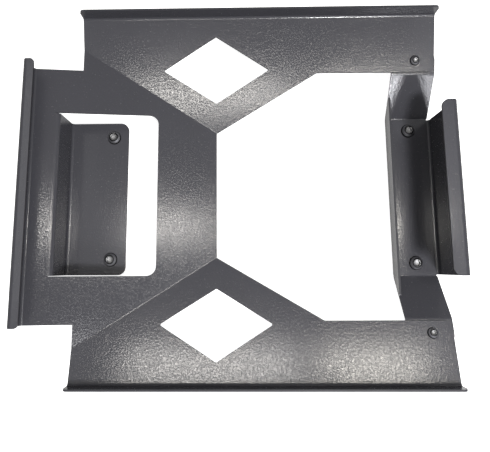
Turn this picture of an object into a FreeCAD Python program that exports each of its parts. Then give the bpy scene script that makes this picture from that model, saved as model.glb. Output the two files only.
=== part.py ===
import FreeCAD, Part
import math
import os
from FreeCAD import Vector

# Roof mount for a flat satellite dish: a folded sheet tray that cradles the dish,
# and a folded cross bracket that closes the open end of the tray.
# Millimetres. X runs along the tray, from the fixed lip to the bracket, and +Z is up.
# The origin is under the middle of the mount, level with the tips of the foot screws.

# sheet metal
sheet = 1.5
bend_radius = 2.0          # inside radius of the sharp folds
hip_radius = 4.0           # inside radius of the shallow diagonal folds
neutral_share = 0.42       # place of the neutral layer in the sheet

# the dish that the mount holds, and the room left round it
dish_length = 298.5
dish_width = 259.0
end_play = 0.6
side_play = 2.0

# tray floor: a panel that rises towards the fixed wall and two wings that rise outwards
panel_slope = 0.137
wing_slope = 0.221
valley_x = -15.7           # free edge of the panel, the lowest line of the floor
valley_inset = 84.7        # from a side flange to where the diagonal folds start
wing_start_gap = 34.55     # from the fixed wall to the wings
wing_end_gap = 2.55        # from the wings to the bracket's wall
wing_width = 40.9          # of the narrow part, beside the centre opening
shoulder_run = 75.6        # from the valley to where the centre opening is at its full width
opening_radius = 1.0
wing_corner_radius = 5.0
flange_height = 11.3       # from the wing's fold to the flange's free edge
flange_radius = 3.5
wall_setback = 38.8        # from a side flange to the end of the fixed wall
lip_height = 37.6          # top of both lips above the valley
fixed_lip_reach = 8.15     # from the wall's outer face
fixed_lip_radius = 3.0

# diamond openings in the wings, centred on the valley's line
diamond_inset = 38.3       # from the side flange to the centre
diamond_half_length = 39.9
diamond_half_width = 24.4
diamond_radius = 1.0

# foot folded out of the panel
foot_drop = 13.2           # top of the feet below the valley
foot_fold_inset = 19.15    # from the fixed wall to the foot's upper fold
cutout_length = 71.4
cutout_inset = 72.0        # from a side flange to the side of the cut-out
cutout_radius = 7.0
tab_radius = 6.0
cut_width = 0.3            # metal lost along the cut round the foot

# cross bracket
bracket_inset = 71.8       # from a side flange to the end of the bracket's wall
bracket_lip_reach = 11.45
bracket_lip_radius = 5.5
stiffener_height = 13.4
stiffener_proud = 1.0      # its outer face beyond the arms' edges
stiffener_gap = 2.0        # between its slanted ends and the arms
stiffener_radius = 0.6
arm_width = 32.3
arm_wall_gap = 1.35        # from the arms to the inner face of the bracket's wall
arm_relief = 1.0           # from the wall's end to the arms' lower fold
arm_contact_inset = 1.4    # from the arms' upper fold to the wing's edge
arm_radius = 7.5

# places of the screws
foot_screw_reach = 33.6    # from the foot's upper fold
foot_screw_inset = 12.0    # from the side of the cut-out
bracket_screw_inset = 16.75
bracket_screw_margin = 8.7 # from the end of the bracket's wall
wing_screw_inset = 8.2     # from the wing's inner edge
wing_screw_margin = 8.2    # from the wing screws to the ends of the arms

# fasteners: M6 in drawn and threaded collars of the feet, M4 between the wings and the bracket's arms
collar_height = 1.5        # below the foot
collar_wall = 1.3
hole_play = 0.4            # plain sheet holes over the screw's diameter
washer_play = 0.3          # washer bores over the screw's radius
thread_gap = 0.1           # between a thread and the plain bore that stands for its mate
ring_gap = 0.05            # nylon rings over the screw's radius
nut_taper = 0.5            # lost from the radius of a nut's round top along its height
nut_chamfer = math.radians(30)
m6 = {
    "diameter": 6.0, "neck_diameter": 4.8, "length": 12.0, "tip": 0.6,
    "head_diameter": 10.5, "head_height": 3.3, "head_flat": 6.2,
    "socket": 4.0, "socket_depth": 2.1,
}
m4 = {
    "diameter": 4.0, "neck_diameter": 3.4, "length": 10.0, "tip": 0.4,
    "head_diameter": 7.6, "head_height": 2.2, "head_flat": 4.4,
    "socket": 2.5, "socket_depth": 1.3,
    "washer_diameter": 9.0, "washer_height": 0.8,
    "nut_across": 7.0, "nut_hex_height": 3.6, "nut_height": 5.0, "nut_top_diameter": 6.2,
    "ring_height": 1.1, "ring_width": 0.6,
}

# heights and widths that follow
half_length = dish_length / 2 + end_play
half_width = dish_width / 2 + side_play
wing_left = wing_start_gap - half_length
wing_right = half_length - wing_end_gap
opening_half = half_width - wing_width
valley_half = half_width - valley_inset
cutout_half = half_width - cutout_inset
bracket_half = half_width - bracket_inset
shoulder_x = valley_x + shoulder_run
wall_half = half_width - wall_setback
diamond_y = half_width - diamond_inset
foot_fold_x = foot_fold_inset - half_length
cutout_end_x = foot_fold_x + cutout_length
arm_right = half_length - arm_wall_gap
arm_left = arm_right - arm_width
stiffener_x = arm_left - stiffener_proud
arm_base_fold = bracket_half + arm_relief
arm_top_fold = opening_half - arm_contact_inset
foot_screw_x = foot_fold_x + foot_screw_reach
foot_screw_y = cutout_half - foot_screw_inset
bracket_screw_x = half_length - bracket_screw_inset
bracket_screw_y = bracket_half - bracket_screw_margin
wing_screw_y = opening_half + wing_screw_inset
arm_reach = wing_screw_y + wing_screw_margin
foot_top = m6["length"]
foot_under = foot_top - sheet
collar_bore = m6["neck_diameter"] / 2 + thread_gap
valley_z = foot_top + foot_drop
lip_top = valley_z + lip_height
lip_under = lip_top - sheet
wing_drop = sheet * math.hypot(1, wing_slope)       # sheet thickness measured straight down
clear = 5.0                # overshoot of the trimming shapes
overlap = 1.5              # run of one sheet section into the next, in one plane
hip_end = valley_x + 8.0   # the diagonal folds run into the centre opening, which trims them


def panel_z(x):
    return valley_z + panel_slope * (valley_x - x)


def wing_z(y):
    return valley_z + wing_slope * (abs(y) - valley_half)


def wing_under(y):
    return wing_z(y) - wing_drop


flange_top = wing_z(half_width) + flange_height

# Places on the XY, XZ or YZ plane as points in space.
planes = {
    "xy": lambda u, v, w: Vector(u, v, w),
    "xz": lambda u, v, w: Vector(u, w, v),
    "yz": lambda u, v, w: Vector(w, u, v),
}


# A closed outline extruded from low to high, square to its plane.
# Each corner is (u, v) or (u, v, radius).
def plate(corners, plane, low, high):
    place = planes[plane]
    count = len(corners)
    ends = []
    arcs = []
    for index, corner in enumerate(corners):
        point = Vector(corner[0], corner[1], 0)
        radius = corner[2] if len(corner) > 2 else 0.0
        before = corners[index - 1]
        after = corners[(index + 1) % count]
        back = (Vector(before[0], before[1], 0) - point).normalize()
        onward = (Vector(after[0], after[1], 0) - point).normalize()
        if radius == 0:
            ends.append((point, point))
            arcs.append(None)
            continue
        half = back.getAngle(onward) / 2
        start = point + back * (radius / math.tan(half))
        stop = point + onward * (radius / math.tan(half))
        bisector = (back + onward).normalize()
        middle = point + bisector * (radius / math.sin(half) - radius)
        ends.append((start, stop))
        arcs.append(middle)
    edges = []
    for index in range(count):
        start, stop = ends[index]
        if arcs[index] is not None:
            points = [place(p.x, p.y, low) for p in (start, arcs[index], stop)]
            edges.append(Part.Arc(*points).toShape())
        following = ends[(index + 1) % count][0]
        if (following - stop).Length > 1e-6:
            edges.append(Part.makeLine(place(stop.x, stop.y, low), place(following.x, following.y, low)))
    face = Part.Face(Part.Wire(edges))
    return face.extrude(place(0, 0, high) - place(0, 0, low))


# Section of a folded sheet, from the corner points of one of its faces.
# The metal lies to the right of the path, and each fold has the sheet's inside radius.
def folded(path):
    steps = []
    for (u0, v0), (u1, v1) in zip(path, path[1:]):
        steps.append(Vector(u1 - u0, v1 - v0, 0).normalize())
    near = []
    far = []
    for index, (u, v) in enumerate(path):
        arriving = steps[max(index - 1, 0)]
        leaving = steps[min(index, len(steps) - 1)]
        right_in = Vector(arriving.y, -arriving.x, 0)
        right_out = Vector(leaving.y, -leaving.x, 0)
        shift = (right_in + right_out) * (sheet / (1 + right_in.dot(right_out)))
        turn = arriving.x * leaving.y - arriving.y * leaving.x
        if index in (0, len(path) - 1):
            near_radius = far_radius = 0.0
        elif turn > 0:
            near_radius = bend_radius
            far_radius = bend_radius + sheet
        else:
            near_radius = bend_radius + sheet
            far_radius = bend_radius
        near.append((u, v, near_radius))
        far.append((u + shift.x, v + shift.y, far_radius))
    return near + far[::-1]


# Space above the tray floor, lowered into the metal by one sheet or not at all.
# The sheet of the floor and its flanges lies between two such spaces.
def floor_space(depth):
    side = half_width + depth
    wing_low = valley_z - depth * math.hypot(1, wing_slope)
    panel_low = depth * math.hypot(1, panel_slope)
    side_z = wing_low + wing_slope * (side - valley_half)
    keel_z = wing_low - wing_slope * valley_half
    trough = plate(
        [
            (-side, flange_top),
            (-side, side_z, bend_radius + depth),
            (0, keel_z),
            (side, side_z, bend_radius + depth),
            (side, flange_top),
        ],
        "yz", wing_left, wing_right)
    above_panel = plate(
        [
            (wing_left, panel_z(wing_left) - panel_low),
            (hip_end, panel_z(hip_end) - panel_low),
            (hip_end, keel_z - clear),
            (wing_right, keel_z - clear),
            (wing_right, flange_top),
            (wing_left, flange_top),
        ],
        "xz", -side - clear, side + clear)
    space = trough.common(above_panel)
    hips = []
    for edge in space.Edges:
        middle = edge.CenterOfMass
        on_panel = abs(middle.z - panel_z(middle.x) + panel_low) < 0.01
        on_wing = abs(middle.z - wing_low - wing_slope * (abs(middle.y) - valley_half)) < 0.01
        if on_panel and on_wing and middle.x < hip_end - 1:
            hips.append(edge)
    return space.makeFillet(hip_radius + depth, hips)


def tray_floor():
    floor = floor_space(sheet).cut(floor_space(0))
    outer = half_width + sheet
    outline = plate(
        [
            (wing_left, -outer),
            (wing_right, -outer),
            (wing_right, -opening_half, wing_corner_radius),
            (shoulder_x, -opening_half, opening_radius),
            (valley_x, -valley_half, opening_radius),
            (valley_x, valley_half, opening_radius),
            (shoulder_x, opening_half, opening_radius),
            (wing_right, opening_half, wing_corner_radius),
            (wing_right, outer),
            (wing_left, outer),
        ],
        "xy", 0, lip_top)
    side_view = plate(
        [
            (wing_left, 0),
            (wing_right, 0),
            (wing_right, flange_top, flange_radius),
            (wing_left, flange_top, flange_radius),
        ],
        "xz", -outer, outer)
    return floor.common(outline).common(side_view)


# The flat part of a lip, from its fold to its free edge, with rounded free corners.
def lip_plate(fold_x, edge_x, half, radius):
    return plate(
        [(fold_x, -half), (edge_x, -half, radius), (edge_x, half, radius), (fold_x, half)],
        "xy", lip_under, lip_top)


def fixed_wall():
    overlap_x = wing_left + overlap
    fold_x = -half_length + bend_radius
    edge_x = -half_length - sheet + fixed_lip_reach
    section = folded([
        (fold_x, lip_under),
        (-half_length, lip_under),
        (-half_length, panel_z(-half_length)),
        (overlap_x, panel_z(overlap_x)),
    ])
    wall = plate(section, "xz", -wall_half, wall_half)
    return wall.fuse(lip_plate(fold_x, edge_x, wall_half, fixed_lip_radius))


# The foot is cut free on three sides and folded down, then out, so its reach is what
# is left of the cut-out's length after the drop and the two folds.
def foot_sizes():
    tilt = math.atan(panel_slope)
    turn = math.pi / 2 - tilt
    outer_tangent = (bend_radius + sheet) * math.tan(turn / 2)
    start_x = foot_fold_x - outer_tangent * math.cos(tilt)
    blank = (cutout_end_x - cut_width - start_x) / math.cos(tilt)
    neutral = bend_radius + neutral_share * sheet
    folds = neutral * (turn + math.pi / 2)
    drop = panel_z(foot_fold_x) - foot_top - outer_tangent - bend_radius
    tab_start_x = foot_fold_x + bend_radius
    return start_x, tab_start_x, tab_start_x + blank - folds - drop


def foot():
    start_x, tab_start_x, tab_end_x = foot_sizes()
    overlap_x = start_x - overlap
    half = cutout_half - cut_width
    section = folded([
        (overlap_x, panel_z(overlap_x)),
        (foot_fold_x, panel_z(foot_fold_x)),
        (foot_fold_x, foot_top),
        (tab_start_x, foot_top),
    ])
    strip = plate(section, "xz", -half, half)
    tab = plate(
        [
            (tab_start_x, -half),
            (tab_end_x, -half, tab_radius),
            (tab_end_x, half, tab_radius),
            (tab_start_x, half),
        ],
        "xy", foot_under, foot_top)
    return strip.fuse(tab)


def foot_cutout():
    start_x = foot_sizes()[0]
    return plate(
        [
            (start_x, -cutout_half),
            (cutout_end_x, -cutout_half, cutout_radius),
            (cutout_end_x, cutout_half, cutout_radius),
            (start_x, cutout_half),
        ],
        "xy", foot_under, lip_top)


def diamond(side):
    centre_y = side * diamond_y
    corners = []
    for across, along in ((1, 0), (0, 1), (-1, 0), (0, -1)):
        u = valley_x + across * diamond_half_length
        v = centre_y + along * diamond_half_width
        corners.append((u, v, diamond_radius))
    return plate(corners, "xy", 0, lip_top)


# Every screw place: the point on the upper sheet face, and the way the screw's head looks.
foot_places = [
    (Vector(foot_screw_x, side * foot_screw_y, foot_top), Vector(0, 0, 1))
    for side in (-1, 1)
]
bracket_places = [
    (Vector(bracket_screw_x, side * bracket_screw_y, foot_top), Vector(0, 0, 1))
    for side in (-1, 1)
]
wing_places = [
    (Vector(bracket_screw_x, side * wing_screw_y, wing_z(wing_screw_y)),
     Vector(0, -side * wing_slope, 1).normalize())
    for side in (-1, 1)
]


def drilled(shape, places, diameter):
    for point, facing in places:
        start = point + facing * clear
        shape = shape.cut(Part.makeCylinder(diameter / 2, clear * 2 + sheet * 2, start, -facing))
    return shape


# Holes that are drawn down into collars and threaded, with the thread left plain.
def tapped(shape, places):
    for point, facing in places:
        collar = Part.makeCylinder(collar_bore + collar_wall, sheet + collar_height, point, -facing)
        shape = shape.fuse(collar)
    return drilled(shape, places, 2 * collar_bore)


def tray():
    shape = tray_floor().fuse(fixed_wall())
    shape = shape.cut(foot_cutout()).fuse(foot())
    for side in (-1, 1):
        shape = shape.cut(diamond(side))
    shape = tapped(shape, foot_places)
    shape = drilled(shape, wing_places, m4["diameter"] + hole_play)
    return shape.removeSplitter()


def bracket_arms():
    past = arm_reach + clear
    upper = [(arm_base_fold, foot_top), (arm_top_fold, wing_under(arm_top_fold)), (past, wing_under(past))]
    path = [(-y, z) for y, z in reversed(upper)] + upper
    strip = plate(folded(path), "yz", arm_left, arm_right)
    outline = plate(
        [
            (arm_left, -arm_reach, arm_radius),
            (arm_right, -arm_reach, arm_radius),
            (arm_right, arm_reach, arm_radius),
            (arm_left, arm_reach, arm_radius),
        ],
        "xy", 0, lip_top)
    strip = strip.common(outline)
    # relief beside the stiffener's fold and the wall's fold
    reliefs = [
        (arm_left - clear, stiffener_x + sheet + bend_radius),
        (half_length - bend_radius, arm_right + clear),
    ]
    for low, high in reliefs:
        notch = plate(
            [(low, -arm_base_fold), (high, -arm_base_fold), (high, arm_base_fold), (low, arm_base_fold)],
            "xy", 0, valley_z)
        strip = strip.cut(notch)
    return strip


def stiffener():
    inner_x = stiffener_x + sheet
    fold_x = inner_x + bend_radius
    top = foot_top + stiffener_height
    rise = wing_under(arm_top_fold) - foot_top
    lean = math.atan2(rise, arm_top_fold - arm_base_fold)
    base_half = arm_base_fold - stiffener_gap / math.sin(lean)
    top_half = base_half + stiffener_height / math.tan(lean)
    section = folded([(inner_x, top), (inner_x, foot_top), (fold_x, foot_top)])
    flange = plate(section, "xz", -top_half, top_half)
    outline = plate(
        [
            (-base_half, foot_under),
            (base_half, foot_under),
            (base_half, foot_top),
            (top_half, top, stiffener_radius),
            (-top_half, top, stiffener_radius),
            (-base_half, foot_top),
        ],
        "yz", stiffener_x - clear, fold_x + clear)
    return flange.common(outline)


def cross_bracket():
    flat_x = stiffener_x + sheet + bend_radius
    fold_x = half_length - bend_radius
    edge_x = half_length + sheet - bracket_lip_reach
    section = folded([
        (flat_x, foot_top),
        (half_length, foot_top),
        (half_length, lip_under),
        (fold_x, lip_under),
    ])
    shape = plate(section, "xz", -bracket_half, bracket_half)
    shape = shape.fuse(lip_plate(fold_x, edge_x, bracket_half, bracket_lip_radius))
    shape = shape.fuse(stiffener()).fuse(bracket_arms())
    shape = tapped(shape, bracket_places)
    shape = drilled(shape, wing_places, m4["diameter"] + hole_play)
    return shape.removeSplitter()


# A profile of lines and, between marked points, arcs, spun round the Z axis.
# Each entry is a point (r, z), or a pair of points for an arc through the first.
def spun(profile):
    edges = []
    here = profile[0]
    for step in profile[1:] + [profile[0]]:
        start = Vector(here[0], 0, here[1])
        if isinstance(step[0], tuple):
            through, here = step
            middle = Vector(through[0], 0, through[1])
            edges.append(Part.Arc(start, middle, Vector(here[0], 0, here[1])).toShape())
        else:
            here = step
            edges.append(Part.makeLine(start, Vector(here[0], 0, here[1])))
    face = Part.Face(Part.Wire(edges))
    return face.revolve(Vector(0, 0, 0), Vector(0, 0, 1), 360)


def hex_bar(across, low, high):
    radius = across / math.sqrt(3)
    corners = []
    for index in range(6):
        angle = math.radians(60 * index + 30)
        corners.append((radius * math.cos(angle), radius * math.sin(angle)))
    return plate(corners, "xy", low, high)


# Button-head socket screw, its head's seat at z = 0 and its tip pointing down.
# Its neck has the thread's root diameter, and also stands for the thread where that runs in a collar.
def button_screw(kind, neck_length):
    shank = kind["diameter"] / 2
    neck = kind["neck_diameter"] / 2
    head = kind["head_diameter"] / 2
    flat = kind["head_flat"] / 2
    height = kind["head_height"]
    tip = kind["tip"]
    # the dome is a sphere, centred on the axis, from the seat's edge to the edge of the flat
    centre = (flat ** 2 + height ** 2 - head ** 2) / (2 * height)
    sphere = math.hypot(head, centre)
    halfway = (math.atan2(-centre, head) + math.atan2(height - centre, flat)) / 2
    dome = (sphere * math.cos(halfway), centre + sphere * math.sin(halfway))
    screw = spun([
        (0, -kind["length"]),
        (shank - tip, -kind["length"]),
        (shank, tip - kind["length"]),
        (shank, -neck_length),
        (neck, -neck_length),
        (neck, 0),
        (head, 0),
        (dome, (flat, height)),
        (0, height),
    ])
    return screw.cut(hex_bar(kind["socket"], height - kind["socket_depth"], height + clear))


# Flat washer, its upper face at z = 0.
def flat_washer(kind):
    height = kind["washer_height"]
    bore = kind["diameter"] / 2 + washer_play
    disc = Part.makeCylinder(kind["washer_diameter"] / 2, height, Vector(0, 0, -height))
    return disc.cut(Part.makeCylinder(bore, height + 2 * clear, Vector(0, 0, -height - clear)))


# Lock nut that hangs from z = 0: a hexagon, then a round top that holds a nylon ring.
def lock_nut(kind):
    hexagon = kind["nut_hex_height"]
    height = kind["nut_height"]
    across = kind["nut_across"]
    round_top = kind["nut_top_diameter"] / 2
    corner = across / math.sqrt(3)
    bore = kind["diameter"] / 2 + thread_gap
    pocket = bore + kind["ring_width"]
    ring_top = kind["ring_height"] - height
    blank = hex_bar(across, -hexagon, 0)
    limit = spun([
        (0, -hexagon),
        (across / 2, -hexagon),
        (corner, (corner - across / 2) * math.tan(nut_chamfer) - hexagon),
        (corner, 0),
        (0, 0),
    ])
    top = spun([
        (0, -hexagon),
        (round_top, -hexagon),
        (round_top - nut_taper, -height),
        (0, -height),
    ])
    inside = spun([
        (0, clear),
        (bore, clear),
        (bore, ring_top),
        (pocket, ring_top),
        (pocket, -height - clear),
        (0, -height - clear),
    ])
    return blank.common(limit).fuse(top).cut(inside).removeSplitter()


def nylon_ring(kind):
    bore = kind["diameter"] / 2 + ring_gap
    outer = kind["diameter"] / 2 + thread_gap + kind["ring_width"]
    low = -kind["nut_height"]
    ring = Part.makeCylinder(outer, kind["ring_height"], Vector(0, 0, low))
    return ring.cut(Part.makeCylinder(bore, kind["ring_height"] + 2 * clear, Vector(0, 0, low - clear)))


# Copies of one fastener, moved down by depth along each screw and faced with it.
def fitted(shape, places, depth):
    copies = []
    for point, facing in places:
        copy = shape.copy()
        copy.Placement = FreeCAD.Placement(
            point - facing * depth, FreeCAD.Rotation(Vector(0, 0, 1), facing))
        copies.append(copy)
    return Part.makeCompound(copies)


foot_neck = sheet + collar_height + thread_gap
washer_depth = 2 * sheet
nut_depth = washer_depth + m4["washer_height"]

nodes = {
    "tray": tray(),
    "cross_bracket": cross_bracket(),
    "foot_screws": fitted(button_screw(m6, foot_neck), foot_places + bracket_places, 0),
    "wing_screws": fitted(button_screw(m4, sheet), wing_places, 0),
    "wing_washers": fitted(flat_washer(m4), wing_places, washer_depth),
    "wing_nuts": fitted(lock_nut(m4), wing_places, nut_depth),
    "wing_nut_rings": fitted(nylon_ring(m4), wing_places, nut_depth),
}

os.makedirs("parts", exist_ok=True)
for name, shape in nodes.items():
    shape.exportStep("parts/" + name + ".step")
    box = shape.BoundBox
    spans = [round(value, 2) for value in (box.XMin, box.XMax, box.YMin, box.YMax, box.ZMin, box.ZMax)]
    print(name, len(shape.Solids), shape.isValid(), round(shape.Volume, 1), spans)
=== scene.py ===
import math
import bmesh
import bpy
import numpy as np
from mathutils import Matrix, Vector


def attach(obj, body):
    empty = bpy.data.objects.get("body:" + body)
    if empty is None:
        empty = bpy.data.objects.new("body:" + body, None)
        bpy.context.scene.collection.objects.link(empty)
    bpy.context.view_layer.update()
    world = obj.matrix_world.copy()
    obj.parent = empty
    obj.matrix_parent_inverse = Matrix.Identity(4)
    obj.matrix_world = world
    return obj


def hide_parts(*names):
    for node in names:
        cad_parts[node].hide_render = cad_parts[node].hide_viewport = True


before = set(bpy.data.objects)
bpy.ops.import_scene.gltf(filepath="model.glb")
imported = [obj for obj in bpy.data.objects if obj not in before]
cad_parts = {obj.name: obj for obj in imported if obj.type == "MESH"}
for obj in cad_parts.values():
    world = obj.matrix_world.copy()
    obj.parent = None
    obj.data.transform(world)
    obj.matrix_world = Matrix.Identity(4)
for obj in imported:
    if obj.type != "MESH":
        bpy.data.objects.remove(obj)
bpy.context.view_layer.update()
mm = 0.001

cameraSet = {
    "place": (0.70, -54.50, 393.60),   # mm
    "turn": (9.110, 1.064, -0.233),    # degrees about X, Y and Z
    "lens": 36.73,
    "sensor": 36,
    "shift": (0.0307, -0.0770),
    "nearest": 0.01,                   # m
}
cameraData = bpy.data.cameras.new("camera")
cameraData.lens = cameraSet["lens"]
cameraData.sensor_width = cameraSet["sensor"]
cameraData.sensor_fit = "HORIZONTAL"
cameraData.shift_x, cameraData.shift_y = cameraSet["shift"]
cameraData.clip_start = cameraSet["nearest"]
camera = bpy.data.objects.new("camera", cameraData)
camera.location = [value * mm for value in cameraSet["place"]]
camera.rotation_euler = [math.radians(value) for value in cameraSet["turn"]]
bpy.context.scene.collection.objects.link(camera)
bpy.context.scene.camera = camera
bpy.context.scene.view_settings.view_transform = "Standard"

lampSet = {
    # place and aim in m, size in m, watts, colour. Two bars overhead give the long highlights, and the
    # halo their soft surround. The side lamp gives the shadows, the end and lip lamps the tone of both
    # ends, and the others single bright patches
    "longLamp": ((-0.052, 0.022, 0.586), (-0.052, 0.022, 0), (0.295, 0.025), 0.85, (1, 0.97, 0.91)),
    "shortLamp": ((0.235, 0.022, 0.586), (0.235, 0.022, 0), (0.18, 0.025), 0.62, (1, 0.96, 0.87)),
    "haloLamp": ((0.050, 0.030, 0.600), (0.050, 0.030, 0), (0.60, 0.14), 0.12, (0.97, 0.96, 1)),
    "cornerLamp": ((-0.122, -0.215, 0.586), (-0.122, -0.215, 0), (0.05, 0.05), 0.16, (1, 1, 1)),
    "endLamp": ((0.375, 0.060, 0.586), (0.375, 0.060, 0), (0.12, 0.34), 0.10, (0.96, 0.96, 1)),
    "lipLamp": ((-0.390, 0.086, 0.586), (-0.390, 0.086, 0), (0.15, 0.47), 0.24, (1, 1, 1)),
    "sideLamp": ((0.30, -0.39, 1.03), (0, 0, 0), (0.17, 0.17), 13.5, (1, 1, 1)),
    "lowLampLeft": ((0.372, -0.61, 0.55), (0.12, 0.08, 0.02), (0.07, 0.09), 1.15, (0.96, 0.96, 1)),
    "lowLampRight": ((0.490, -0.575, 0.55), (0.14, 0.08, 0.02), (0.05, 0.09), 0.42, (0.96, 0.96, 1)),
}
for name, (place, aim, size, watts, colour) in lampSet.items():
    lampData = bpy.data.lights.new(name, "AREA")
    lampData.shape = "RECTANGLE"
    lampData.size, lampData.size_y = size
    lampData.energy = watts
    lampData.color = colour
    lamp = bpy.data.objects.new(name, lampData)
    lamp.location = place
    lamp.rotation_euler = (Vector(aim) - lamp.location).to_track_quat("-Z", "Y").to_euler()
    bpy.context.scene.collection.objects.link(lamp)
print("camera and lamps placed")


def addNode(tree, kind, values=None, **settings):
    item = tree.nodes.new(kind)
    for key, value in settings.items():
        setattr(item, key, value)
    for key, value in (values or {}).items():
        item.inputs[key].default_value = value
    return item


def newGroup(name, inputs, outputs):
    # a group with its named sockets, and the nodes at its two ends
    tree = bpy.data.node_groups.new(name, "ShaderNodeTree")
    for socketName, kind, value in inputs:
        socket = tree.interface.new_socket(name=socketName, in_out="INPUT", socket_type=kind)
        if value is not None:
            socket.default_value = value
    for socketName, kind in outputs:
        tree.interface.new_socket(name=socketName, in_out="OUTPUT", socket_type=kind)
    return tree, tree.nodes.new("NodeGroupInput"), tree.nodes.new("NodeGroupOutput")


def placeGroup(tree, group, values):
    item = tree.nodes.new("ShaderNodeGroup")
    item.node_tree = group
    for key, value in values.items():
        item.inputs[key].default_value = value
    return item


grainSet = {
    "gritFineness": 2.7,      # grit grains to a pebble
    "crests": (0.56, 0.72),   # heights where the crests' mask begins and is full
    "swing": (0.3, 0.7),      # heights of the roughest and the smoothest places
}


def makeGrain():
    # pebbles of a set size with finer grit on them, and broad soft patches
    tree, into, out = newGroup(
        "surfaceGrain",
        [("Place", "NodeSocketVector", None), ("Pebbles Per Metre", "NodeSocketFloat", 1000.0),
         ("Grit Share", "NodeSocketFloat", 0.4), ("Patches Per Metre", "NodeSocketFloat", 25.0)],
        [("Height", "NodeSocketFloat"), ("Crests", "NodeSocketFloat"), ("Patches", "NodeSocketFloat")])
    link = tree.links.new
    pebbles = addNode(tree, "ShaderNodeTexNoise", {"Detail": 1.0, "Roughness": 0.5})
    grit = addNode(tree, "ShaderNodeTexNoise", {"Detail": 2.0, "Roughness": 0.6})
    patches = addNode(tree, "ShaderNodeTexNoise", {"Detail": 2.0, "Roughness": 0.5})
    finer = addNode(tree, "ShaderNodeMath", {1: grainSet["gritFineness"]}, operation="MULTIPLY")
    blend = addNode(tree, "ShaderNodeMix", data_type="FLOAT")
    crests = addNode(tree, "ShaderNodeMapRange", {
        "From Min": grainSet["crests"][0], "From Max": grainSet["crests"][1]})
    link(into.outputs["Place"], pebbles.inputs["Vector"])
    link(into.outputs["Place"], grit.inputs["Vector"])
    link(into.outputs["Place"], patches.inputs["Vector"])
    link(into.outputs["Pebbles Per Metre"], pebbles.inputs["Scale"])
    link(into.outputs["Pebbles Per Metre"], finer.inputs[0])
    link(finer.outputs[0], grit.inputs["Scale"])
    link(into.outputs["Patches Per Metre"], patches.inputs["Scale"])
    link(into.outputs["Grit Share"], blend.inputs[0])
    link(pebbles.outputs[0], blend.inputs[2])
    link(grit.outputs[0], blend.inputs[3])
    link(blend.outputs[0], out.inputs["Height"])
    link(blend.outputs[0], crests.inputs[0])
    link(crests.outputs[0], out.inputs["Crests"])
    link(patches.outputs[0], out.inputs["Patches"])
    return tree


def makeFinish(grain, name, look):
    # one Principled shader: two tones by patches, a third on the crests, smoother and raised by height
    material = bpy.data.materials.new(name)
    material.use_nodes = True
    tree = material.node_tree
    link = tree.links.new
    shader = tree.nodes["Principled BSDF"]
    shader.inputs["Metallic"].default_value = look["metallic"]
    shader.inputs["Specular IOR Level"].default_value = look["specular"]
    place = addNode(tree, "ShaderNodeTexCoord")
    # a colour mix takes its factor at 0 and its two colours at 6 and 7, and gives the result at 2
    surface = placeGroup(tree, grain, look["grain"])
    tone = addNode(tree, "ShaderNodeMix", data_type="RGBA")
    tone.inputs[6].default_value = (*look["deep"], 1)
    tone.inputs[7].default_value = (*look["pale"], 1)
    crestTone = addNode(tree, "ShaderNodeMix", data_type="RGBA")
    crestTone.inputs[7].default_value = (*look["crest"], 1)
    rough = addNode(tree, "ShaderNodeMapRange", {
        "From Min": grainSet["swing"][0], "From Max": grainSet["swing"][1],
        "To Min": look["roughness"][1], "To Max": look["roughness"][0]})
    bump = addNode(tree, "ShaderNodeBump", {"Strength": look["strength"], "Distance": look["relief"] * mm})
    link(place.outputs["Object"], surface.inputs["Place"])
    link(surface.outputs["Patches"], tone.inputs[0])
    link(tone.outputs[2], crestTone.inputs[6])
    link(surface.outputs["Crests"], crestTone.inputs[0])
    link(crestTone.outputs[2], shader.inputs["Base Color"])
    link(surface.outputs["Height"], rough.inputs[0])
    link(rough.outputs[0], shader.inputs["Roughness"])
    link(surface.outputs["Height"], bump.inputs["Height"])
    link(bump.outputs[0], shader.inputs["Normal"])
    return material


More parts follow.
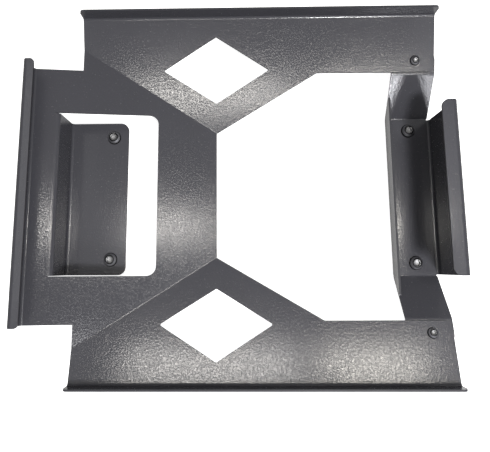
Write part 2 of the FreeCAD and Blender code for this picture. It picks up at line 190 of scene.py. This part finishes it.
finishSet = {
    # relief in mm
    "powderCoat": {
        "deep": (0.037, 0.037, 0.043), "pale": (0.043, 0.043, 0.050), "crest": (0.045, 0.045, 0.052),
        "metallic": 0.0, "specular": 0.5, "roughness": (0.08, 0.28), "strength": 1.0, "relief": 0.080,
        "grain": {"Pebbles Per Metre": 760.0, "Grit Share": 0.2, "Patches Per Metre": 22.0},
    },
    "powderCoatEdge": {
        "deep": (0.026, 0.026, 0.030), "pale": (0.034, 0.034, 0.039), "crest": (0.042, 0.042, 0.048),
        "metallic": 0.0, "specular": 0.15, "roughness": (0.44, 0.54), "strength": 1.0, "relief": 0.02,
        "grain": {"Pebbles Per Metre": 1400.0, "Grit Share": 0.4, "Patches Per Metre": 60.0},
    },
    "screwSteel": {
        "deep": (0.22, 0.22, 0.24), "pale": (0.30, 0.30, 0.32), "crest": (0.34, 0.34, 0.36),
        "metallic": 1.0, "specular": 0.5, "roughness": (0.46, 0.58), "strength": 0.25, "relief": 0.03,
        "grain": {"Pebbles Per Metre": 3500.0, "Grit Share": 0.5, "Patches Per Metre": 400.0},
    },
    # near-black steel that paints shade onto the head's lower rim and onto its flat top
    "paintedShadeSteel": {
        "deep": (0.012, 0.012, 0.013), "pale": (0.02, 0.02, 0.022), "crest": (0.03, 0.03, 0.032),
        "metallic": 1.0, "specular": 0.5, "roughness": (0.40, 0.50), "strength": 0.2, "relief": 0.03,
        "grain": {"Pebbles Per Metre": 3500.0, "Grit Share": 0.5, "Patches Per Metre": 400.0},
    },
    "socketSteel": {
        "deep": (0.19, 0.19, 0.20), "pale": (0.24, 0.24, 0.24), "crest": (0.28, 0.28, 0.27),
        "metallic": 1.0, "specular": 0.5, "roughness": (0.45, 0.58), "strength": 0.2, "relief": 0.03,
        "grain": {"Pebbles Per Metre": 3500.0, "Grit Share": 0.5, "Patches Per Metre": 400.0},
    },
    "platedSteel": {
        "deep": (0.50, 0.50, 0.49), "pale": (0.62, 0.61, 0.58), "crest": (0.68, 0.67, 0.64),
        "metallic": 1.0, "specular": 0.5, "roughness": (0.26, 0.42), "strength": 0.2, "relief": 0.03,
        "grain": {"Pebbles Per Metre": 2500.0, "Grit Share": 0.5, "Patches Per Metre": 300.0},
    },
    "nylon": {
        "deep": (0.70, 0.69, 0.63), "pale": (0.78, 0.77, 0.71), "crest": (0.80, 0.79, 0.74),
        "metallic": 0.0, "specular": 0.5, "roughness": (0.40, 0.55), "strength": 0.2, "relief": 0.03,
        "grain": {"Pebbles Per Metre": 2000.0, "Grit Share": 0.5, "Patches Per Metre": 300.0},
    },
}
grainGroup = makeGrain()
finishes = {name: makeFinish(grainGroup, name, look) for name, look in finishSet.items()}
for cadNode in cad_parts.values():
    cadNode.data.materials.clear()
    cadNode.data.materials.append(finishes["powderCoat"])
print("finishes made")

sheetSet = {
    # mm and degrees, unless it says otherwise
    "edgeRadius": 0.28,   # where the coat rounds the cut edges
    "edgeAngle": 40,
    "edgeSegments": 2,
    "cutWidth": 1.7,      # cut edges are narrower than this
    "cutAngle": 60,       # and fold off more sharply than this
    "cutShare": 0.3,      # along at least this share of their outline
    "flatAngle": 0.5,     # facets that differ by less are one face
    "smoothAngle": 30,
    "weight": 50,         # how far large faces rule the shading
    "mergeDistance": 1e-6,   # m
}


def softenedSheet(name, cadName):
    # the CAD sheet as it is, merged, with its cut edges rounded by the coat
    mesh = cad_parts[cadName].data.copy()
    mesh.name = name
    shape = bmesh.new()
    shape.from_mesh(mesh)
    bmesh.ops.remove_doubles(shape, verts=shape.verts, dist=sheetSet["mergeDistance"])
    bmesh.ops.dissolve_limit(shape, angle_limit=math.radians(sheetSet["flatAngle"]),
                             verts=shape.verts, edges=shape.edges)
    # the cut edges of the sheet: narrow faces with sharp folds along them
    sharpest = math.radians(sheetSet["cutAngle"])
    for face in shape.faces:
        length = sum(edge.calc_length() for edge in face.edges)
        sharp = sum(edge.calc_length() for edge in face.edges if edge.calc_face_angle(0) > sharpest)
        isNarrow = 2 * face.calc_area() / length < sheetSet["cutWidth"] * mm
        face.material_index = 1 if isNarrow and sharp > sheetSet["cutShare"] * length else 0
    mesh.materials.clear()
    mesh.materials.append(finishes["powderCoat"])
    mesh.materials.append(finishes["powderCoatEdge"])
    shape.to_mesh(mesh)
    shape.free()
    mesh.shade_smooth()
    mesh.set_sharp_from_angle(angle=math.radians(sheetSet["smoothAngle"]))
    piece = bpy.data.objects.new(name, mesh)
    bpy.context.scene.collection.objects.link(piece)
    bevel = piece.modifiers.new("coatRound", "BEVEL")
    bevel.width = sheetSet["edgeRadius"] * mm
    bevel.segments = sheetSet["edgeSegments"]
    bevel.limit_method = "ANGLE"
    bevel.angle_limit = math.radians(sheetSet["edgeAngle"])
    bevel.use_clamp_overlap = True
    bevel.material = 1
    weighted = piece.modifiers.new("flatsStayFlat", "WEIGHTED_NORMAL")
    weighted.keep_sharp = True
    weighted.weight = sheetSet["weight"]
    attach(piece, "root")
    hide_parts(cadName)


softenedSheet("foldedTray", "tray")
softenedSheet("foldedCrossBracket", "cross_bracket")
print("sheets softened")


ringMerge = 1e-7   # m, points nearer than this are one


def piecesOfRings(name, finishNames, cadName, rings, places, closed, smoothAngle, changes=()):
    # rings is (rows, columns, 3) in mm, one closed ring of points to a row. A copy of them stands at each
    # place and faces its way: the place plus x times side, y times across and z times up. Each four
    # neighbours make a face. closed joins the last row to the first, otherwise both end rows are points.
    # changes are the rows where the next finish starts
    rows, columns = rings.shape[:2]
    stacks = []
    for point, facing in places:
        up = np.array(facing, float) / np.linalg.norm(facing)
        side = np.array((1.0, 0.0, 0.0))
        across = np.cross(up, side)
        turn = np.stack([side, across, up])
        stacks.append(rings.reshape(-1, 3) @ turn + np.array(point))
    points = np.concatenate(stacks) * mm
    rowIndex = np.arange(rows if closed else rows - 1)
    row, column = np.meshgrid(rowIndex, np.arange(columns), indexing="ij")
    nextRow, nextColumn = (row + 1) % rows, (column + 1) % columns
    quads = np.stack([row * columns + column, row * columns + nextColumn,
                      nextRow * columns + nextColumn, nextRow * columns + column], -1).reshape(-1, 4)
    quads = np.concatenate([quads + index * rows * columns for index in range(len(places))])
    mesh = bpy.data.meshes.new(name)
    mesh.from_pydata(points.tolist(), [], quads.tolist())
    finishIndex = np.searchsorted(changes, row.reshape(-1), side="right")
    mesh.polygons.foreach_set("material_index", np.tile(finishIndex, len(places)).astype(np.int32))
    shape = bmesh.new()
    shape.from_mesh(mesh)
    bmesh.ops.remove_doubles(shape, verts=shape.verts, dist=ringMerge)
    bmesh.ops.recalc_face_normals(shape, faces=shape.faces)
    shape.to_mesh(mesh)
    shape.free()
    for finishName in finishNames:
        mesh.materials.append(finishes[finishName])
    mesh.shade_smooth()
    mesh.set_sharp_from_angle(angle=math.radians(smoothAngle))
    piece = bpy.data.objects.new(name, mesh)
    bpy.context.scene.collection.objects.link(piece)
    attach(piece, "root")
    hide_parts(cadName)


def turnedRings(rows, columns):
    # each row of (radius, height) becomes a ring: the radius times the angle's cosine and sine, and the height
    angles = np.arange(columns) * 2 * math.pi / columns
    radii = np.array([np.broadcast_to(radius, columns) for radius, height in rows])
    heights = np.array([np.broadcast_to(height, columns) for radius, height in rows])
    return np.stack([radii * np.cos(angles), radii * np.sin(angles), heights], -1)


def hexRadius(angles, across):
    # distance from the axis to the side of a hexagon: half its width across flats, over the cosine of the
    # angle to the middle of the flat
    return across / 2 / np.cos(np.mod(angles, math.pi / 3) - math.pi / 6)


screwShape = {
    # mm, unless it says otherwise
    "columns": 72,
    "threadDepth": 0.58,       # of the pitch
    "tipSoft": 0.1,
    "tipRow": 0.08,
    "neckRow": 0.02,
    "flank": (1.35, -0.12),    # steepness, and how much of the crest is flat, in shares of the depth
    "runOut": (1.2, 0.7),      # pitches over which the thread ends, at the tip and at the neck
    "fillet": (0.3, 0.15),     # height and width where the neck meets the head
    "rimSoft": 0.12,
    "domeRows": 14,
    "domeStop": 0.05,          # radians short of the flat
    "domeShare": 0.999,
    "mouth": ((0.22, 0.0), (0.06, -0.06)),                # out from the corners, up from the flat
    "meeting": (0.10, -0.12),                             # out from the walls, up from the flat
    "wallTop": -0.30,
    "wallFoot": ((0.0, 0.12), (-0.04, 0.03), (-0.12, 0.0)),   # out from the walls, up from the floor
    "cone": ((0.25, -0.06), (0.0, -0.20)),                # share of the socket's width, up from the floor
    "smoothAngle": 35,         # degrees
    # rows counted from the last: the edge of the head in painted shade, its dome, the flat in painted shade,
    # the socket
    "changes": (25, 19, 12, 9),
}


def screwRings(look):
    # rows of (radius, height) from the tip's middle, up the thread, neck and head, and down into the socket
    shape = screwShape
    angles = np.arange(shape["columns"]) * 2 * math.pi / shape["columns"]
    major, pitch = look["diameter"] / 2, look["pitch"]
    depth = shape["threadDepth"] * pitch
    low, high = -look["length"], -look["neckLength"]
    rows = [(0.0, low), (major - depth - shape["tipSoft"], low)]
    # thread: the radius falls from its crest with the distance from it along the axis, and the crest
    # climbs one pitch a turn
    steep, flatCrest = shape["flank"]
    tipTurns, neckTurns = shape["runOut"]
    for height in np.arange(low + shape["tipRow"], high - shape["neckRow"], pitch / look["rowsPerPitch"]):
        phase = np.mod((height - low) / pitch - angles / (2 * math.pi), 1.0)
        flank = np.clip(np.abs(2 * phase - 1) * steep + flatCrest, 0, 1)
        ending = min(1.0, (height - low) / (tipTurns * pitch), (high - height) / (neckTurns * pitch))
        crest = major - depth * (1 - max(0.0, ending))
        rows.append((np.minimum(crest, major - depth * flank), height))
    neck = look["neckDiameter"] / 2
    head, flat, top = look["headDiameter"] / 2, look["headFlat"] / 2, look["headHeight"]
    rise, spread = shape["fillet"]
    rim = shape["rimSoft"]
    rows += [(neck, high), (neck, -rise), (neck + spread, 0.0), (head - rim, 0.0)]
    # dome: a sphere centred on the axis, through the seat's rim and the edge of the flat
    centre = (flat ** 2 + top ** 2 - head ** 2) / (2 * top)
    sphere = math.hypot(head, centre)
    start, stop = math.atan2(rim - centre, head), math.atan2(top - centre, flat)
    for turn in np.linspace(start, stop - shape["domeStop"], shape["domeRows"]):
        rows.append((sphere * math.cos(turn) * shape["domeShare"], centre + sphere * math.sin(turn)))
    rows.append((flat - rim, top))
    # socket: a round lead-in, then the hexagon, and a drilled cone at its foot
    corner, bottom = look["socket"] / math.sqrt(3), top - look["socketDepth"]
    side = hexRadius(angles, look["socket"])
    outward, up = shape["meeting"]
    rows += [(corner + out, top + rise) for out, rise in shape["mouth"]]
    rows += [(np.minimum(corner, side + outward), top + up), (side, top + shape["wallTop"])]
    rows += [(side + out, bottom + rise) for out, rise in shape["wallFoot"]]
    rows += [(look["socket"] * share, bottom + rise) for share, rise in shape["cone"]]
    return turnedRings(rows, shape["columns"])


def makeScrews(name, cadName, look, places):
    rings = screwRings(look)
    changes = [len(rings) - count for count in screwShape["changes"]]
    # the second and fourth finishes paint shade onto the head's lower rim and onto its flat top
    finishNames = ["screwSteel", "paintedShadeSteel", "screwSteel", "paintedShadeSteel", "socketSteel"]
    piecesOfRings(name, finishNames, cadName, rings, places,
                  closed=False, smoothAngle=screwShape["smoothAngle"], changes=changes)


footScrew = {
    # mm
    "diameter": 5.96, "pitch": 1.0, "rowsPerPitch": 10, "neckDiameter": 4.8, "neckLength": 3.1, "length": 12.0,
    "headDiameter": 10.5, "headHeight": 3.3, "headFlat": 6.2, "socket": 4.0, "socketDepth": 2.1,
    # the height of both feet, and where the screws stand to either side of the middle
    "footTop": 12.0, "tray": (-97.1, 47.5), "bracket": (133.1, 51.0),
}
footPlaces = [((x, side * y, footScrew["footTop"]), (0, 0, 1))
              for x, y in (footScrew["tray"], footScrew["bracket"]) for side in (-1, 1)]
makeScrews("footScrewsThreaded", "foot_screws", footScrew, footPlaces)

wingScrew = {
    # mm
    "diameter": 3.96, "pitch": 0.7, "rowsPerPitch": 10, "neckDiameter": 3.4, "neckLength": 1.5, "length": 10.0,
    "headDiameter": 7.6, "headHeight": 2.2, "headFlat": 4.4, "socket": 2.5, "socketDepth": 1.3,
    # on the wing's upper face, which rises by the slope
    "place": (133.1, 98.8, 36.692), "wingSlope": 0.221,
}


def wingPlaces(depth):
    # both wings, at depth below the upper face and square to it
    x, y, z = wingScrew["place"]
    slope = wingScrew["wingSlope"]
    long = math.hypot(1, slope)
    return [((x, side * (y + depth * slope / long), z - depth / long), (0, -side * slope, 1))
            for side in (-1, 1)]


makeScrews("wingScrewsThreaded", "wing_screws", wingScrew, wingPlaces(0))

washer = {
    # mm; depth is how far its upper face lies below the wing's
    "bore": 4.6, "outer": 9.0, "height": 0.8, "round": 0.15, "middle": 0.045, "depth": 3.0,
    "columns": 64, "smoothAngle": 35,
}
inner, outer, tall = washer["bore"] / 2, washer["outer"] / 2, washer["height"]
soft, middle = washer["round"], washer["middle"]
washerProfile = [
    (inner + soft, 0), (outer - soft, 0), (outer - middle, -middle), (outer, -soft),
    (outer, -tall + soft), (outer - middle, -tall + middle), (outer - soft, -tall),
    (inner + soft, -tall), (inner, -tall + soft), (inner, -soft),
]
piecesOfRings("wingWashersRounded", ["platedSteel"], "wing_washers",
              turnedRings(washerProfile, washer["columns"]), wingPlaces(washer["depth"]),
              closed=True, smoothAngle=washer["smoothAngle"])

nut = {
    # mm, unless it says otherwise
    "across": 7.0, "hexHeight": 3.6, "height": 5.0, "topDiameter": 6.2, "topEnd": 5.2, "bore": 4.2,
    "pocket": 5.4, "ringHeight": 1.1, "depth": 3.8, "columns": 96, "smoothAngle": 30,
    "chamfer": 30,                                   # degrees
    "chamferInset": 0.15,                            # of the cone's end, from the flats
    "chamferRows": (0.03, 0.10, 0.18, 0.26, 0.34),   # drops below the face
    "chamferEnd": 0.45,
    "faceInset": 0.3,
    "boreEase": 0.25,
    "collarFillet": 0.12,
    "collarTaper": 0.06,
    "crown": (0.75, 0.6, 6),                         # start and height of the rounding, and its rows
    "pocketEase": ((0.02, 0.03), (0.0, 0.12)),       # out and up
}


def nutRings():
    # hexagon whose rim is cut by a cone at each end: the radius is the smaller of hexagon and cone
    angles = np.arange(nut["columns"]) * 2 * math.pi / nut["columns"]
    hexagon = hexRadius(angles, nut["across"])
    slope = math.tan(math.radians(nut["chamfer"]))
    bore, pocket, half = nut["bore"] / 2, nut["pocket"] / 2, nut["across"] / 2
    hexEnd, coneEnd = -nut["hexHeight"], half - nut["chamferInset"]
    rows = [(bore + nut["boreEase"], 0.0), (coneEnd, 0.0)]
    rows += [(np.minimum(hexagon, coneEnd + drop / slope), -drop) for drop in nut["chamferRows"]]
    rows += [(hexagon, -nut["chamferEnd"]), (hexagon, hexEnd + nut["chamferEnd"])]
    rows += [(np.minimum(hexagon, coneEnd + drop / slope), drop + hexEnd) for drop in nut["chamferRows"][::-1]]
    # collar with a rounded crown, then the ring's pocket and the bore
    top, end, low = nut["topDiameter"] / 2, nut["topEnd"] / 2, -nut["height"]
    fillet, narrow = nut["collarFillet"], top - nut["collarTaper"]
    crownStart, crownHeight, crownRows = nut["crown"]
    rows += [(half - nut["faceInset"], hexEnd), (top + fillet, hexEnd), (top, hexEnd - fillet)]
    rows.append((narrow, low + crownStart))
    for turn in np.linspace(0, math.pi / 2, crownRows):
        rows.append((end + (narrow - end) * math.cos(turn), low + crownHeight * (1 - math.sin(turn))))
    rows += [(pocket + out, low + up) for out, up in nut["pocketEase"]]
    rows += [(pocket, low + nut["ringHeight"]), (bore, low + nut["ringHeight"]), (bore, -nut["boreEase"])]
    return turnedRings(rows, nut["columns"])


piecesOfRings("wingNutsChamfered", ["platedSteel"], "wing_nuts",
              nutRings(), wingPlaces(nut["depth"]), closed=True, smoothAngle=nut["smoothAngle"])

nylonRing = {
    # mm, measured from the nut's upper face
    "bore": 4.08, "outer": 5.36, "low": -4.96, "high": -3.92,
    "innerRound": ((0.0, 0.18), (0.10, 0.04), (0.3, 0.0)),   # out and up
    "outerRound": ((-0.15, 0.02), (0.0, 0.10)),
    "columns": 64, "smoothAngle": 50,
}
inner, outer, low, high = nylonRing["bore"] / 2, nylonRing["outer"] / 2, nylonRing["low"], nylonRing["high"]
ringProfile = [(inner + out, low + up) for out, up in nylonRing["innerRound"]]
ringProfile += [(outer + out, low + up) for out, up in nylonRing["outerRound"]]
ringProfile += [(outer, high), (inner, high)]
piecesOfRings("wingNutRingsNylon", ["nylon"], "wing_nut_rings",
              turnedRings(ringProfile, nylonRing["columns"]), wingPlaces(nut["depth"]),
              closed=True, smoothAngle=nylonRing["smoothAngle"])
print("fasteners made")

floorSet = {"half": 3.0, "colour": 0.70, "glow": 0.88, "roughness": 0.9}   # glow is for the camera alone
floorMesh = bpy.data.meshes.new("floor")
half = floorSet["half"]
floorCorners = [(-half, -half, 0), (half, -half, 0), (half, half, 0), (-half, half, 0)]
floorMesh.from_pydata(floorCorners, [], [(0, 1, 2, 3)])
floor = bpy.data.objects.new("floor", floorMesh)
bpy.context.scene.collection.objects.link(floor)
paper = bpy.data.materials.new("paleFloor")
paper.use_nodes = True
tree = paper.node_tree
paperShader = tree.nodes["Principled BSDF"]
paperShader.inputs["Base Color"].default_value = (floorSet["colour"],) * 3 + (1,)
paperShader.inputs["Roughness"].default_value = floorSet["roughness"]
paperShader.inputs["Specular IOR Level"].default_value = 0.0
glow = addNode(tree, "ShaderNodeEmission", {"Color": (1, 1, 1, 1)})
rays = addNode(tree, "ShaderNodeLightPath")
strength = addNode(tree, "ShaderNodeMath", {1: floorSet["glow"]}, operation="MULTIPLY")
both = addNode(tree, "ShaderNodeAddShader")
# seen from below, the floor is clear
side = addNode(tree, "ShaderNodeNewGeometry")
clear = addNode(tree, "ShaderNodeBsdfTransparent")
sided = addNode(tree, "ShaderNodeMixShader")
tree.links.new(rays.outputs["Is Camera Ray"], strength.inputs[0])
tree.links.new(strength.outputs[0], glow.inputs["Strength"])
tree.links.new(paperShader.outputs[0], both.inputs[0])
tree.links.new(glow.outputs[0], both.inputs[1])
tree.links.new(side.outputs["Backfacing"], sided.inputs[0])
tree.links.new(both.outputs[0], sided.inputs[1])
tree.links.new(clear.outputs[0], sided.inputs[2])
tree.links.new(sided.outputs[0], tree.nodes["Material Output"].inputs["Surface"])
floorMesh.materials.append(paper)

worldSet = {"light": 0.27, "background": 1.0}
world = bpy.data.worlds.new("studio")
bpy.context.scene.world = world
world.use_nodes = True
tree = world.node_tree
sky = tree.nodes["Background"]
sky.inputs["Color"].default_value = (1, 1, 1, 1)
rays = addNode(tree, "ShaderNodeLightPath")
pick = addNode(tree, "ShaderNodeMapRange", {"To Min": worldSet["light"], "To Max": worldSet["background"]})
tree.links.new(rays.outputs["Is Camera Ray"], pick.inputs[0])
tree.links.new(pick.outputs[0], sky.inputs["Strength"])
print("stage set")
